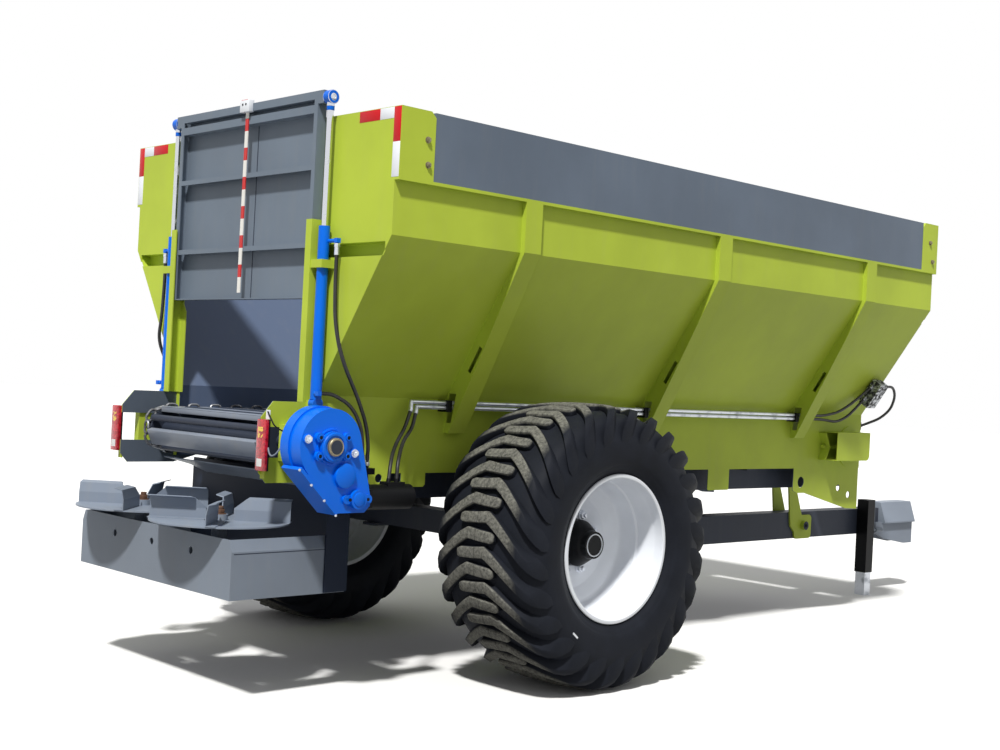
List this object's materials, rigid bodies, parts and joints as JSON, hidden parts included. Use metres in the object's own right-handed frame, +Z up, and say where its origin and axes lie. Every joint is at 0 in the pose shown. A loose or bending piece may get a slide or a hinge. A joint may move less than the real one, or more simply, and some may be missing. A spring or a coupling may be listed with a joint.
{
  "type": "manure spreader",
  "caption": "Towed hopper spreader on a single axle: chain floor, lifting rear gate with hydraulic cylinders, twin spinner discs, hydraulic hoses, drawbar and parking jack.",
  "frame": {"origin": "on the ground, under the middle of the machine's overall box", "axes": "+X to the machine's right, +Y forwards in the towing direction, +Z up"},
  "size_m": [2.658, 6.694, 2.659],
  "materials": {
    "black": "satin",
    "blue": "gloss",
    "chrome": "polished",
    "chute": "satin",
    "dark": "satin",
    "grey": "satin",
    "hose": "matt",
    "lamp": "gloss",
    "lime": "satin",
    "rubber": "matt",
    "slate": "satin",
    "steel": "satin",
    "stick": "satin",
    "white": "gloss"
  },
  "bodies": {
    "chassis": {"apron": "steel", "axle_beam": "dark", "board_posts": "lime", "chain_floor": "steel", "chain_shafts": "steel", "chassis_rails": "lime", "chute_plate": "chute", "cross_members": "lime", "cylinder_barrels": "blue", "cylinder_clamps": "lime", "drawbar": "dark", "drawbar_hangers": "lime", "drive_arms": "lime", "extension_boards": "slate", "floor_plate": "slate", "gate_rails": "lime", "gearbox": "blue", "hitch_head": "dark", "hopper_front_wall": "lime", "hopper_rear_wall": "lime", "hopper_side_left": "lime", "hopper_side_right": "lime", "hoses": "hose", "hydraulic_motors": "black", "idler_cover": "lime", "jack_crank": "dark", "jack_tube": "dark", "motor_beam": "grey", "pipe_clamps": "black", "pipes": "steel", "shaft_bearings": "lime", "spinner_box": "grey", "stakes": "lime", "tail_lamps": "lamp", "valve_block": "black"},
    "wheel_left": {"tyre_left": "rubber", "wheel_rim_left": "white", "wheel_hub_left": "black"},
    "wheel_right": {"tyre_right": "rubber", "wheel_rim_right": "white", "wheel_hub_right": "black"},
    "gate": {"gate_panel": "slate", "gate_bars": "slate", "gate_rods": "chrome", "gauge_stick": "stick"},
    "spinner_left": {"spinner_disc_left": "steel"},
    "spinner_right": {"spinner_disc_right": "steel"},
    "jack_foot": {"jack_leg": "steel"}
  },
  "joints": [
    {"name": "wheel_spin_left", "type": "hinge", "parent": "chassis", "child": "wheel_left", "pos_m": [-1.029, -1.507, 0.666], "axis": [1, 0, 0], "continuous": true},
    {"name": "wheel_spin_right", "type": "hinge", "parent": "chassis", "child": "wheel_right", "pos_m": [1.029, -1.507, 0.666], "axis": [1, 0, 0], "continuous": true},
    {"name": "gate_lift", "type": "slide", "parent": "chassis", "child": "gate", "axis": [0, 0, 1], "range_m": [-0.5, 0]},
    {"name": "spinner_turn_left", "type": "hinge", "parent": "chassis", "child": "spinner_left", "pos_m": [-0.33, -3.042, 0.745], "axis": [0, 0, 1], "continuous": true},
    {"name": "spinner_turn_right", "type": "hinge", "parent": "chassis", "child": "spinner_right", "pos_m": [0.33, -3.042, 0.745], "axis": [0, 0, 1], "continuous": true},
    {"name": "jack_extend", "type": "slide", "parent": "chassis", "child": "jack_foot", "axis": [0, 0, 1], "range_m": [0, 0.15]}
  ]
}
